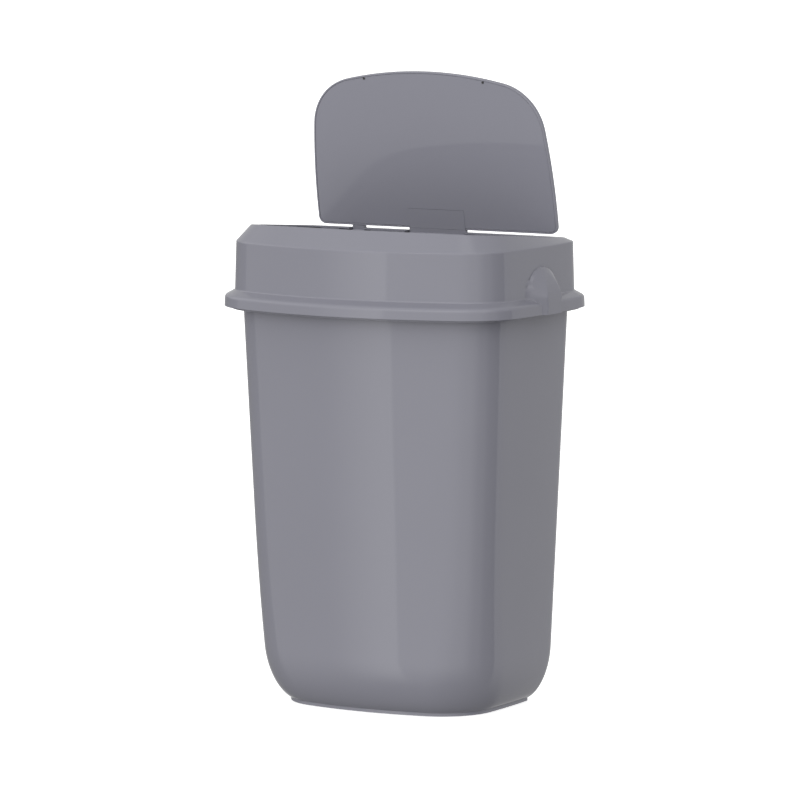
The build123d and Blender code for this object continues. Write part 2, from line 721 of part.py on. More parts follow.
# ---- left hinge ----
with BuildPart() as left_hinge_bracket:
    with BuildSketch(yz(-128.0)):
        with BuildLine():
            Polyline((86.5, 554.5), (86.5, 560.0), (90.0, 567.0), (94.7, 568.6), (99.4, 567.0),
                     (102.5, 560.0), (102.5, 554.5), (86.5, 554.5))
        make_face()
    extrude(amount=31.0)
    with BuildSketch(yz(-122.6)):
        with BuildLine():
            Polyline((80.0, 556.7), (80.0, 580.0), (110.0, 580.0), (110.0, 556.7), (80.0, 556.7))
        make_face()
    extrude(amount=20.2, mode=Mode.SUBTRACT)
    with BuildSketch(yz(-129.0)):
        with Locations((AX_Y, AX_Z)):
            Circle(2.01)
    extrude(amount=34.0, mode=Mode.SUBTRACT)
    with BuildSketch(Plane.XY.offset(554.5)):
        with Locations((-125.3, 105.5), (-99.7, 105.5)):
            Circle(3.4)
            Circle(1.5, mode=Mode.SUBTRACT)
    extrude(amount=3.0)
left_hinge_bracket.part.label = "left_hinge_bracket"
export_step(left_hinge_bracket.part, "parts/left_hinge_bracket.step")

with BuildPart() as left_hinge_pin:
    with BuildSketch(yz(-129.0)):
        with Locations((AX_Y, AX_Z)):
            Circle(2.0)
    extrude(amount=33.0)
    with BuildSketch(yz(-129.6)):
        with Locations((AX_Y, AX_Z)):
            Circle(3.2)
    extrude(amount=1.5)
left_hinge_pin.part.label = "left_hinge_pin"
export_step(left_hinge_pin.part, "parts/left_hinge_pin.step")

# ---- housing screws ----
with BuildPart() as housing_screws:
    with BuildSketch(Plane.XY.offset(494.6)):
        with Locations(*SCREW_AT):
            Circle(3.2)
    extrude(amount=1.35)
    with BuildSketch(Plane.XY.offset(495.9)):
        with Locations(*SCREW_AT):
            Circle(1.5)
    extrude(amount=12.0)
    with BuildSketch(Plane.XY.offset(494.0)):
        with Locations(*SCREW_AT):
            Rectangle(4.0, 0.8)
            Rectangle(0.8, 4.0)
    extrude(amount=1.4, mode=Mode.SUBTRACT)
housing_screws.part.label = "housing_screws"
export_step(housing_screws.part, "parts/housing_screws.step")

# ---- batteries ----
CELLS = [(-138.0, 528.6), (-86.5, 528.6), (-138.0, 543.6), (-86.5, 543.6)]
with BuildPart() as battery_tray:
    with BuildSketch(yz(-140.9 + 3.4)):
        with BuildLine():
            Polyline((112.3, 519.6), (112.3, 552.6), (129.4, 552.6), (129.4, 519.6), (112.3, 519.6))
        make_face()
    extrude(amount=103.5)
    with BuildSketch(yz(-140.9 + 4.9)):
        with BuildLine():
            Polyline((113.8, 521.1), (113.8, 551.1), (135.0, 551.1), (135.0, 521.1), (113.8, 521.1))
        make_face()
    extrude(amount=100.5, mode=Mode.SUBTRACT)
battery_tray.part.label = "battery_tray"
export_step(battery_tray.part, "parts/battery_tray.step")

TX0, TX1 = -136.0, -35.5
with BuildPart() as battery_cells:
    for cz in (528.7, 543.5):
        for x0, tip in ((TX0 + 1.2, 1), (TX0 + 50.7, 1)):
            with BuildSketch(yz(x0)):
                with Locations((121.4, cz)):
                    Circle(6.9)
            extrude(amount=47.0)
            with BuildSketch(yz(x0 + 47.0)):
                with Locations((121.4, cz)):
                    Circle(2.6)
            extrude(amount=1.2)
battery_cells.part.label = "battery_cells"
export_step(battery_cells.part, "parts/battery_cells.step")

with BuildPart() as battery_contacts:
    with BuildSketch(yz(TX0 + 0.05)):
        with Locations((121.4, 528.7), (121.4, 543.5)):
            Rectangle(11.0, 11.0)
    extrude(amount=0.5)
    with BuildSketch(yz(TX1 - 0.6)):
        with Locations((121.4, 536.1)):
            Rectangle(11.0, 26.0)
    extrude(amount=0.5)
battery_contacts.part.label = "battery_contacts"
export_step(battery_contacts.part, "parts/battery_contacts.step")

# ---- battery door: a piece of the rear wall ----

with BuildPart() as battery_door:
    for z, off in [(Z_WALL_BOTTOM - 4, WALL_OUT_LOW - 0.05), (Z_WALL_TOP, -0.15)]:
        with BuildSketch(Plane.XY.offset(z)):
            with BuildLine():
                draw(wall_plan(off))
            make_face()
    loft(ruled=True)
    for z, off in [(Z_WALL_BOTTOM - 5, WALL_OUT_LOW - 2.45), (Z_WALL_TOP + 1, -2.6)]:
        with BuildSketch(Plane.XY.offset(z)):
            with BuildLine():
                draw(wall_plan(off))
            make_face()
    loft(ruled=True, mode=Mode.SUBTRACT)
    with BuildSketch(Plane.XZ.offset(-160.0)):
        with Locations(((DOOR_X0 + DOOR_X1) / 2, (DOOR_Z0 + DOOR_Z1) / 2)):
            RectangleRounded(DOOR_X1 - DOOR_X0, DOOR_Z1 - DOOR_Z0, 4.0)
    extrude(amount=60.0, mode=Mode.INTERSECT)
    # finger ribs
    with BuildSketch(Plane.XZ.offset(-132.2)):
        with Locations((-122.0, 535.5), (-118.5, 535.5), (-115.0, 535.5)):
            Rectangle(1.2, 16.0)
    extrude(amount=-3.6)
battery_door.part.label = "battery_door"
export_step(battery_door.part, "parts/battery_door.step")

# ---- electronics ----
with BuildPart() as control_board:
    with BuildSketch(Plane.XY.offset(548.0)):
        with Locations((106.0, 112.0)):
            RectangleRounded(62.0, 31.0, 1.5)
        with Locations((134.5, 99.5), (134.5, 124.5)):
            Circle(1.3, mode=Mode.SUBTRACT)
    extrude(amount=1.6)
    with BuildSketch(Plane.XY.offset(549.6)):
        with Locations((88.0, 104.0)):
            Rectangle(9.0, 9.0)
        with Locations((80.0, 119.0)):
            Rectangle(6.0, 9.0)
        with Locations((100.0, 101.0), (108.0, 101.0)):
            Circle(2.4)
    extrude(amount=2.2)
    with BuildSketch(Plane.XY.offset(549.6)):
        with Locations((130.0, 112.0)):
            Rectangle(5.0, 8.0)
    extrude(amount=5.0)
control_board.part.label = "control_board"
export_step(control_board.part, "parts/control_board.step")

with BuildPart() as tact_switches:
    with BuildSketch(Plane.XY.offset(549.65)):
        with Locations(*BTN):
            Rectangle(6.0, 6.0)
    extrude(amount=3.4)
    with BuildSketch(Plane.XY.offset(553.0)):
        with Locations(*BTN):
            Circle(1.7)
    extrude(amount=1.2)
tact_switches.part.label = "tact_switches"
export_step(tact_switches.part, "parts/tact_switches.step")


with BuildPart() as open_button:
    bx, by = BTN[0]
    cap_z = DECK_Z0 - DECK_K * by - 0.8
    with BuildSketch(Plane.XY.offset(565.4)):
        with Locations((bx, by)):
            Circle(5.0)
    extrude(amount=cap_z - 565.4)
    with BuildSketch(Plane.XY.offset(564.2)):
        with Locations((bx, by)):
            Circle(6.6)
    extrude(amount=1.8)
    with BuildSketch(Plane.XY.offset(555.6)):
        with Locations((bx, by)):
            Circle(1.9)
    extrude(amount=9.0)
    # raised bars on the cap
    with BuildSketch(Plane.XY.offset(cap_z - 0.2)):
        with Locations((bx, by)):
            Rectangle(4.4, 0.9)
    extrude(amount=0.5)
open_button.part.label = "open_button"
export_step(open_button.part, "parts/open_button.step")

with BuildPart() as close_button:
    bx, by = BTN[1]
    cap_z = DECK_Z0 - DECK_K * by - 0.8
    with BuildSketch(Plane.XY.offset(565.4)):
        with Locations((bx, by)):
            Circle(5.0)
    extrude(amount=cap_z - 565.4)
    with BuildSketch(Plane.XY.offset(564.2)):
        with Locations((bx, by)):
            Circle(6.6)
    extrude(amount=1.8)
    with BuildSketch(Plane.XY.offset(555.6)):
        with Locations((bx, by)):
            Circle(1.9)
    extrude(amount=9.0)
    # raised bars on the cap
    with BuildSketch(Plane.XY.offset(cap_z - 0.2)):
        with Locations((bx, by - 1.0), (bx, by + 1.0)):
            Rectangle(4.4, 0.9)
    extrude(amount=0.5)
close_button.part.label = "close_button"
export_step(close_button.part, "parts/close_button.step")

with BuildPart() as switch_base:
    with BuildSketch(Plane.XZ.offset(-124.4)):
        with Locations((SWX, SWZ)):
            Rectangle(22.0, 12.0)
    extrude(amount=-7.2)
    with BuildSketch(Plane.XZ.offset(-126.2)):
        with Locations((SWX, SWZ)):
            Rectangle(13.4, 5.4)
    extrude(amount=-9.0, mode=Mode.SUBTRACT)
switch_base.part.label = "switch_base"
export_step(switch_base.part, "parts/switch_base.step")

with BuildPart() as switch_slider:
    with BuildSketch(Plane.XZ.offset(-126.6)):
        with Locations((SWX - 2.6, SWZ)):
            Rectangle(7.0, 4.6)
    extrude(amount=-4.8)
    with BuildSketch(Plane.XZ.offset(-131.0)):
        with Locations((SWX - 2.6, SWZ)):
            Rectangle(5.0, 3.8)
    extrude(amount=-4.9)
switch_slider.part.label = "switch_slider"
export_step(switch_slider.part, "parts/switch_slider.step")

# ---- sensor, behind the front ridge ----
with BuildPart() as sensor_board:
    with BuildSketch(Plane.XY.offset(571.0)):
        with Locations((4.0, -118.5)):
            Rectangle(54.0, 23.0)
    extrude(amount=1.6)
    with BuildSketch(Plane.XY.offset(572.6)):
        with Locations((-7.0, -116.7), (7.0, -116.7)):
            Circle(2.2)
        with Locations((20.0, -116.7)):
            Circle(1.3)
    extrude(amount=4.2)
    with BuildSketch(Plane.XY.offset(572.6)):
        with Locations((24.0, -124.5)):
            Rectangle(8.0, 5.0)
    extrude(amount=3.0)
sensor_board.part.label = "sensor_board"
export_step(sensor_board.part, "parts/sensor_board.step")

with BuildPart() as sensor_window:
    with BuildSketch(Plane.XY.offset(577.2)):
        with Locations((0, (WIN_Y0 + WIN_Y1) / 2)):
            Rectangle(26.0, WIN_Y1 - WIN_Y0)
    extrude(amount=16.0)
    with BuildSketch(deck_plane(-0.05)):
        Rectangle(400, 400)
    extrude(amount=20.0, mode=Mode.SUBTRACT)
sensor_window.part.label = "sensor_window"
export_step(sensor_window.part, "parts/sensor_window.step")

with BuildPart() as indicator_light:
    with BuildSketch(Plane.XY.offset(577.2)):
        with Locations((20.0, -116.7)):
            Circle(1.25)
    extrude(amount=16.0)
    with BuildSketch(deck_plane(-0.05)):
        Rectangle(400, 400)
    extrude(amount=20.0, mode=Mode.SUBTRACT)
indicator_light.part.label = "indicator_light"
export_step(indicator_light.part, "parts/indicator_light.step")

# lead from the sensor board, round the inside of the collar, to the control board
LEAD_R = 1.4
LEAD = [(28.1, -124.5, 574.2), (52.0, -124.6, 572.4), (84.0, -119.5, 567.5), (118.0, -112.0, 562.5),
        (150.0, -94.0, 559.0), (172.0, -62.0, 557.0), (180.0, -22.0, 556.0), (180.6, 22.0, 555.4),
        (178.2, 62.0, 555.0), (168.0, 92.0, 554.7), (150.0, 104.5, 554.5), (139.0, 101.0, 554.0),
        (131.5, 106.5, 552.6)]


def lead_radii(pts):
    out = []
    for i in range(1, len(pts) - 1):
        a = Vector(*pts[i]) - Vector(*pts[i - 1])
        b = Vector(*pts[i + 1]) - Vector(*pts[i])
        turn = radians(a.get_angle(b))
        out.append(0.45 * min(a.length, b.length) / tan(turn / 2))
    return out


LEAD_RADII = lead_radii(LEAD)
print("lead radii", [round(r, 1) for r in LEAD_RADII])
with BuildPart() as sensor_lead:
    with BuildLine() as lead_path:
        FilletPolyline(*LEAD, radius=LEAD_RADII)
    with BuildSketch(Plane(origin=LEAD[0], z_dir=lead_path.line % 0)):
        Circle(LEAD_R)
    sweep(path=lead_path.line)
LEAD_LEN = sum(e.length for e in lead_path.line.edges())
print("lead length", round(LEAD_LEN, 1), "volume ratio",
      round(sensor_lead.part.volume / (pi * LEAD_R ** 2 * LEAD_LEN), 4))
sensor_lead.part.label = "sensor_lead"
export_step(sensor_lead.part, "parts/sensor_lead.step")

# ===========================================================================
# LID
# ===========================================================================
PLATE_X = 39.5
NUBS = [(-83.4, 187.6), (83.4, 187.6)]
with BuildPart() as lid_panel:
    with BuildSketch(lid_plane(0, 0.0)):
        with BuildLine():
            draw_lid(0.0)
        make_face()
    extrude(amount=-LID_T)
    fillet(lid_panel.edges().group_by(Axis((0, 0, 0), (0, cos(LEAN), sin(LEAN))))[-1], 1.2)
    with BuildSketch(lid_plane(0, -1.0)):
        with BuildLine():
            draw_lid(-2.0)
        make_face()
    extrude(amount=-5.0, mode=Mode.SUBTRACT)
    # the rear edge is open where the arm and the lug leave the lid
    with BuildSketch(lid_plane(0, -0.5)):
        with Locations((0, 0)):
            Rectangle(2 * PLATE_X + 1.4, 8.0)
    extrude(amount=-4.48, mode=Mode.SUBTRACT)
    with BuildSketch(lid_plane(0, 1.25)):
        with Locations((-112.5, 0)):
            Rectangle(17.6, 8.0)
    extrude(amount=-2.73, mode=Mode.SUBTRACT)
lid_panel.part.label = "lid_panel"
export_step(lid_panel.part, "parts/lid_panel.step")

with BuildPart() as lid_liner:
    with BuildSketch(lid_plane(0, 0.4)):
        with BuildLine():
            draw_lid(-2.15)
        make_face()
        with Locations((0, 8.0)):
            Rectangle(2 * PLATE_X + 0.5, 34.3, mode=Mode.SUBTRACT)
        with Locations(*NUBS):
            Circle(0.95, mode=Mode.SUBTRACT)
    extrude(amount=-1.6)
    # relief behind the face for the hinge lug
    with BuildSketch(lid_plane(0, 1.25)):
        with Locations((-112.5, 2.0)):
            Rectangle(17.5, 12.4)
    extrude(amount=-1.5, mode=Mode.SUBTRACT)
    # stiffening ribs towards the panel
    with BuildSketch(lid_plane(0, 1.9)):
        with Locations((-120, 95), (-60, 100), (0, 105), (60, 100), (120, 95)):
            Rectangle(1.6, 118.0)
    extrude(amount=-2.0)
lid_liner.part.label = "lid_liner"
export_step(lid_liner.part, "parts/lid_liner.step")

with BuildPart() as lid_bumpers:
    with BuildSketch(lid_plane(0, -0.35)):
        with Locations(*NUBS):
            Circle(1.5)
    extrude(amount=-0.74)
    with BuildSketch(lid_plane(0, 0.3)):
        with Locations(*NUBS):
            Circle(0.9)
    extrude(amount=-2.4)
lid_bumpers.part.label = "lid_bumpers"
export_step(lid_bumpers.part, "parts/lid_bumpers.step")


def arm_profile():
    Polyline((24.0, 1.4), (24.0, 3.9), (-0.2, 3.9), (-0.4, 5.7), (-5.6, 5.7), (-8.6, 2.6),
             (-HINGE_A + 1.2, -HINGE_B + 4.36), (-HINGE_A - 1.6, -HINGE_B + 4.21),
             (-HINGE_A - 4.2, -HINGE_B + 1.6), (-HINGE_A - 4.2, -HINGE_B - 1.6),
             (-HINGE_A - 1.6, -HINGE_B - 4.2), (-HINGE_A + 1.6, -HINGE_B - 4.2),
             (-6.4, -4.2), (-5.4, 0.0), (-0.1, 0.0), (-0.1, 1.4), (24.0, 1.4))


with BuildPart() as drive_arm:
    with BuildSketch(side_plane(PLATE_X)):
        with BuildLine():
            arm_profile()
        make_face()
    extrude(amount=2 * PLATE_X)
    # open middle between the two shaft ears
    with BuildSketch(side_plane(28.0)):
        with BuildLine():
            Polyline((-6.2, -9.0), (-6.2, 9.0), (-20.0, 9.0), (-20.0, -9.0), (-6.2, -9.0))
        make_face()
    extrude(amount=56.0, mode=Mode.SUBTRACT)
    with BuildSketch(side_plane(PLATE_X + 1.0)):
        with Locations((-HINGE_A, -HINGE_B)):
            Circle(SHAFT_R + 0.01)
    extrude(amount=2 * PLATE_X + 2.0, mode=Mode.SUBTRACT)
    with BuildSketch(lid_plane(0, 0.0)):
        with Locations((-28, 14), (-10, 14), (10, 14), (28, 14)):
            Circle(1.5)
    extrude(amount=-5.0, mode=Mode.SUBTRACT)
drive_arm.part.label = "drive_arm"
export_step(drive_arm.part, "parts/drive_arm.step")

with BuildPart() as hinge_cover:
    with BuildSketch(lid_plane(0, 0.0)):
        with Locations((0, 12.3)):
            Rectangle(2 * PLATE_X, 24.3)
    extrude(amount=-1.3)
    with BuildSketch(lid_plane(0, 0.5)):
        with Locations((-28, 14), (-10, 14), (10, 14), (28, 14)):
            Circle(3.1)
    extrude(amount=-1.0, mode=Mode.SUBTRACT)
hinge_cover.part.label = "hinge_cover"
export_step(hinge_cover.part, "parts/hinge_cover.step")

with BuildPart() as lid_screws:
    with BuildSketch(lid_plane(0, 0.6)):
        with Locations((-28, 14), (-10, 14), (10, 14), (28, 14)):
            Circle(2.8)
    extrude(amount=-0.75)
    with BuildSketch(lid_plane(0, 1.3)):
        with Locations((-28, 14), (-10, 14), (10, 14), (28, 14)):
            Circle(1.45)
    extrude(amount=-2.65)
lid_screws.part.label = "lid_screws"
export_step(lid_screws.part, "parts/lid_screws.step")

with BuildPart() as left_hinge_lug:
    with BuildSketch(side_plane(-104.3)):
        with BuildLine():
            Polyline((8.0, 1.35), (8.0, 3.9), (-0.2, 3.9), (-0.4, 5.7), (-5.6, 5.7), (-8.6, 2.6),
                     (-HINGE_A + 1.2, -HINGE_B + 4.36), (-HINGE_A - 1.6, -HINGE_B + 4.21),
                     (-HINGE_A - 4.2, -HINGE_B + 1.6), (-HINGE_A - 4.2, -HINGE_B - 1.6),
                     (-HINGE_A - 1.6, -HINGE_B - 4.2), (-HINGE_A + 1.6, -HINGE_B - 4.2),
                     (-6.4, -4.2), (-5.4, 0.0), (-0.1, 0.0), (-0.1, 1.35), (8.0, 1.35))
        make_face()
        with Locations((-HINGE_A, -HINGE_B)):
            Circle(2.0 + RUN, mode=Mode.SUBTRACT)
    extrude(amount=16.4)
left_hinge_lug.part.label = "left_hinge_lug"
export_step(left_hinge_lug.part, "parts/left_hinge_lug.step")

with BuildPart() as hinge_shaft:
    with BuildSketch(yz(-47.5)):
        with Locations((AX_Y, AX_Z)):
            Circle(SHAFT_R)
    extrude(amount=100.4)
hinge_shaft.part.label = "hinge_shaft"
export_step(hinge_shaft.part, "parts/hinge_shaft.step")
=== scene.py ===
import bpy
import json
from math import sin, cos, radians, pi, sqrt, atan2, hypot
import numpy as np
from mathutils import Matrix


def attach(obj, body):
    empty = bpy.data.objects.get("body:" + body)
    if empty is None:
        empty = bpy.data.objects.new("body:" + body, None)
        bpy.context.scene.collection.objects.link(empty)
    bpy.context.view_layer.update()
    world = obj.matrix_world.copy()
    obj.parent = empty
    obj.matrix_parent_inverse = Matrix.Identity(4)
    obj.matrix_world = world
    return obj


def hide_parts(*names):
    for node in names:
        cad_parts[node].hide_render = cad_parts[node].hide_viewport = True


# ---- the frame's own dimensions, in millimetres ----
SIDE_Y = 11.0
WALL = dict(xs=190.0, yf=150.8, yr=128.8, r1=66.0, r2=41.5)
RIDGE = dict(xs=176.8, yf=130.1, yr=121.7, r1=61.7, r2=30.2)
DECK_Z0, DECK_K = 580.31, 0.0818
DECK_ANG = atan2(DECK_K, 1.0)
AX_Y, AX_Z = 94.7, 563.5
LEAN = radians(10.95)
HINGE_A, HINGE_B = 11.3, 3.0
LID = dict(xs=168.3, length=198.2, rf=508.0, rs=886.0, yc=19.7, r1=66.6)
BULGE_Y = 15.0


def meet(c1, ra, c2, rb, pick):
    vx, vy = c2[0] - c1[0], c2[1] - c1[1]
    d = hypot(vx, vy)
    a = (ra * ra - rb * rb + d * d) / (2 * d)
    h = sqrt(max(ra * ra - a * a, 0.0))
    ux, uy = vx / d, vy / d
    q = [(c1[0] + a * ux - h * uy, c1[1] + a * uy + h * ux),
         (c1[0] + a * ux + h * uy, c1[1] + a * uy - h * ux)]
    return max(q, key=pick)


def side_steps(fine):
    """Spacing along a side: close together beside the lift pocket."""
    if not fine:
        return np.linspace(0, 1, 37)
    k = [0.0, 0.27, 0.82, 1.0]
    return np.concatenate([np.linspace(k[0], k[1], 9)[:-1], np.linspace(k[1], k[2], 140)[:-1],
                           np.linspace(k[2], k[3], 7)])


def plan_ring(xs, yf, yr, r1, r2, off=0.0, fine=False):
    """The plan outline as one closed ring of points, the same count for any size."""
    rf, rs, rr = 417.0, 1013.0, 1430.0
    cf, cs, cr = (0.0, -yf + rf), (xs - rs, 0.0), (0.0, yr - rr)
    c1 = meet(cf, rf - r1, cs, rs - r1, lambda q: q[0] - q[1])
    c2 = meet(cr, rr - r2, cs, rs - r2, lambda q: q[0] + q[1])
    a1 = atan2(c1[1] - cf[1], c1[0] - cf[0])
    a2 = atan2(c1[1] - cs[1], c1[0] - cs[0])
    a3 = atan2(c2[1] - cs[1], c2[0] - cs[0])
    a4 = atan2(c2[1] - cr[1], c2[0] - cr[0])
    half = [(cf, rf, -pi / 2, a1, np.linspace(0, 1, 33)), (c1, r1, a1, a2, np.linspace(0, 1, 29)),
            (cs, rs, a2, a3, side_steps(fine)), (c2, r2, a3, a4, np.linspace(0, 1, 23)),
            (cr, rr, a4, pi / 2, np.linspace(0, 1, 31))]
    pts = []
    for i, (c, r, s, e, t) in enumerate(half):
        a = s + (e - s) * (t if i == len(half) - 1 else t[:-1])
        pts.append(np.stack([c[0] + (r + off) * np.cos(a), c[1] + (r + off) * np.sin(a)], 1))
    right = np.concatenate(pts)
    left = right[1:-1][::-1] * [-1, 1]
    ring = np.concatenate([right, left])
    ring[:, 1] += SIDE_Y
    return ring


def body_dims(z):
    h = 485.0 - z
    s = 7.5 + 0.0432 * h
    b = 6.0 + 0.0237 * h
    r1 = 66.5 + (14.5 * ((250.0 - z) / 183.0) ** 2.2 if z < 250 else 0.0)
    e = 35.0 * (1.0 - sqrt(max(1.0 - ((70.0 - z) / 68.0) ** 2, 0.0))) if z < 70.0 else 0.0
    return dict(xs=WALL["xs"] - s, yf=WALL["yf"] - s, yr=WALL["yr"] - b, r1=r1, r2=33.0), e


def body_ring(z, off=0.0, at=None):
    d, e = body_dims(z if at is None else at)
    p = plan_ring(**d, off=off - e)
    return np.column_stack([p, np.full(len(p), z)])


def deck_z(y, d=0.0):
    return DECK_Z0 - DECK_K * y + d / cos(DECK_ANG)


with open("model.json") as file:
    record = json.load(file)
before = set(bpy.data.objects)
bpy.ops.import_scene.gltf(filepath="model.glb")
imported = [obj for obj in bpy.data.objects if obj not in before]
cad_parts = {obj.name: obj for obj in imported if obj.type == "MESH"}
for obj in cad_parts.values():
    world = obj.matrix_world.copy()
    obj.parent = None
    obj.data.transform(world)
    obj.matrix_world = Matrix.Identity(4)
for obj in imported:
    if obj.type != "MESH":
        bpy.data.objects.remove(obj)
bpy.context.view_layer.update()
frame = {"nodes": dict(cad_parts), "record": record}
nodes = frame["nodes"]
MM = 0.001


# ---------------------------------------------------------------------------
# mesh helpers
# ---------------------------------------------------------------------------
def bez(a, b, c, ta, tc, n=5):
    """Rounds the corner b between a and c, column by column."""
    da, dc = a - b, c - b
    la = np.linalg.norm(da, axis=1, keepdims=True)
    lc = np.linalg.norm(dc, axis=1, keepdims=True)
    p0 = b + da / la * np.minimum(ta, la * 0.48)
    p2 = b + dc / lc * np.minimum(tc, lc * 0.48)
    out = []
    for t in np.linspace(0, 1, n + 1):
        out.append((1 - t) ** 2 * p0 + 2 * t * (1 - t) * b + t * t * p2)
    return out


def profile(stations, closed=False):
    """stations: (ring, round, rows on the way to the next). Gives all rows."""
    rows = []
    m = len(stations)
    done = []
    for i, (ring, r, k) in enumerate(stations):
        if r > 0 and (closed or 0 < i < m - 1):
            a, c = stations[i - 1][0], stations[(i + 1) % m][0]
            done.append(bez(a, ring, c, r, r))
        else:
            done.append([ring])
    for i in range(m):
        rows += done[i]
        if i < m - 1 or closed:
            k = stations[i][2]
            a, b = done[i][-1], done[(i + 1) % m][0]
            for j in range(1, k):
                rows.append(a + (b - a) * (j / k))
    return rows


def grid_mesh(name, rows, closed=False, caps=(False, False), flip=False):
    n = len(rows[0])
    verts = np.concatenate(rows) * MM
    faces = []
    m = len(rows)
    for i in range(m if closed else m - 1):
        j = (i + 1) % m
        for k in range(n):
            l = (k + 1) % n
            f = (i * n + k, i * n + l, j * n + l, j * n + k)
            faces.append(f[::-1] if flip else f)
    if caps[0]:
        f = tuple(range(n))
        faces.append(f if flip else f[::-1])
    if caps[1]:
        f = tuple((m - 1) * n + k for k in range(n))
        faces.append(f[::-1] if flip else f)
    me = bpy.data.meshes.new(name)
    me.from_pydata(verts.tolist(), [], faces)
    me.validate()
    me.update()
    ob = bpy.data.objects.new(name, me)
    bpy.context.scene.collection.objects.link(ob)
    return ob


def smooth(ob, angle=32.0):
    me = ob.data
    me.shade_smooth()
    me.set_sharp_from_angle(angle=radians(angle))


def cut(ob, cutters):
    """Takes the cutters out of ob, for good."""
    bpy.context.view_layer.update()
    for c in cutters:
        mod = ob.modifiers.new("cut", "BOOLEAN")
        mod.operation = "DIFFERENCE"
        mod.object = c
        mod.solver = SOLVER
    dg = bpy.context.evaluated_depsgraph_get()
    me = bpy.data.meshes.new_from_object(ob.evaluated_get(dg))
    ob.modifiers.clear()
    old = ob.data
    ob.data = me
    bpy.data.meshes.remove(old)
    me.name = ob.name
    for c in cutters:
        d = c.data
        bpy.data.objects.remove(c)
        bpy.data.meshes.remove(d)


SOLVER = "MANIFOLD" if "MANIFOLD" in bpy.types.BooleanModifier.bl_rna.properties["solver"].enum_items else "EXACT"


def rounded(hx, hy, r, n=6):
    """Rounded rectangle outline about the origin."""
    pts = []
    for cx, cy, a0 in [(hx - r, hy - r, 0), (-hx + r, hy - r, 90), (-hx + r, -hy + r, 180), (hx - r, -hy + r, 270)]:
        for i in range(n + 1):
            a = radians(a0 + 90.0 * i / n)
            pts.append((cx + r * cos(a), cy + r * sin(a)))
    return np.array(pts)


def prism(name, outline, to3d, lo, hi):
    """Closed prism; to3d(p, w) places the outline at height w."""
    a = np.array([to3d(p, lo) for p in outline], float)
    b = np.array([to3d(p, hi) for p in outline], float)
    ob = grid_mesh(name, [a, b], caps=(True, True))
    fix_normals(ob)
    return ob


def fix_normals(ob):
    import bmesh
    bm = bmesh.new()
    bm.from_mesh(ob.data)
    bmesh.ops.recalc_face_normals(bm, faces=bm.faces)
    bm.to_mesh(ob.data)
    bm.free()
    ob.data.update()


# ---------------------------------------------------------------------------
# collar: one closed shell swept round the plan
# ---------------------------------------------------------------------------
def wall_ring(off, z):
    p = plan_ring(**WALL, off=off, fine=True)
    return np.column_stack([p, np.full(len(p), z)])


def ridge_ring(off, d=0.0):
    p = plan_ring(**RIDGE, off=off, fine=True)
    return np.column_stack([p, deck_z(p[:, 1], d)])


def lid_arc_list(r2):
    rf, rs, r1 = LID["rf"], LID["rs"], LID["r1"]
    cf, cs = (0.0, LID["length"] - rf), (LID["xs"] - rs, LID["yc"])
    c1 = meet(cf, rf - r1, cs, rs - r1, lambda q: q[0] + q[1])
    a0 = atan2(c1[1] - cf[1], c1[0] - cf[0])
    a1 = atan2(c1[1] - cs[1], c1[0] - cs[0])
    xx = cs[0] + sqrt((rs - r2) ** 2 - (r2 - cs[1]) ** 2)
    c2 = (xx, r2)
    a2 = atan2(c2[1] - cs[1], c2[0] - cs[0])
    return [(c2, r2, -pi / 2, a2, 13), (cs, rs, a2, a1, 33), (c1, r1, a1, a0, 29), (cf, rf, a0, pi / 2, 31)]


def lid_ring(off=0.0, r2=9.5, dense=1):
    """Lid outline (x, u), closed, starting at the middle of the rear edge."""
    half = [np.column_stack([np.linspace(0, lid_arc_list(r2)[0][0][0], 24 * dense), np.full(24 * dense, -off)])]
    arcs = lid_arc_list(r2)
    for i, (c, r, s, e, n) in enumerate(arcs):
        a = np.linspace(s, e, n * dense)[1:]
        half.append(np.column_stack([c[0] + (r + off) * np.cos(a), c[1] + (r + off) * np.sin(a)]))
    right = np.concatenate(half)
    left = right[1:-1][::-1] * [-1, 1]
    return np.concatenate([right, left])


def lid_point(x, u, w, closed):
    k = DECK_ANG
    d = (-cos(k), sin(k)) if closed else (-sin(LEAN), cos(LEAN))
    v = (d[1], -d[0])
    y = AX_Y + (HINGE_A + u) * d[0] + (HINGE_B + w) * v[0]
    z = AX_Z + (HINGE_A + u) * d[1] + (HINGE_B + w) * v[1]
    return np.stack(np.broadcast_arrays(x, y, z), -1)


def opening_ring(off, d):
    """The lid opening on the deck plane, one point on the ray of each ridge point."""
    o = lid_ring(1.4 + off)
    p = lid_point(o[:, 0], o[:, 1], 0.0, True)[:, :2]
    q = plan_ring(**RIDGE, fine=True)
    c = np.array([0.0, 0.0])
    ang = np.arctan2(p[:, 1] - c[1], p[:, 0] - c[0])
    rad = np.hypot(p[:, 0] - c[0], p[:, 1] - c[1])
    s = np.argsort(ang)
    ang, p = ang[s], p[s]
    qa = np.arctan2(q[:, 1] - c[1], q[:, 0] - c[0])
    ang3 = np.concatenate([ang - 2 * pi, ang, ang + 2 * pi])
    px = np.interp(qa, ang3, np.tile(p[:, 0], 3))
    py = np.interp(qa, ang3, np.tile(p[:, 1], 3))
    return np.column_stack([px, py, deck_z(py, d)])


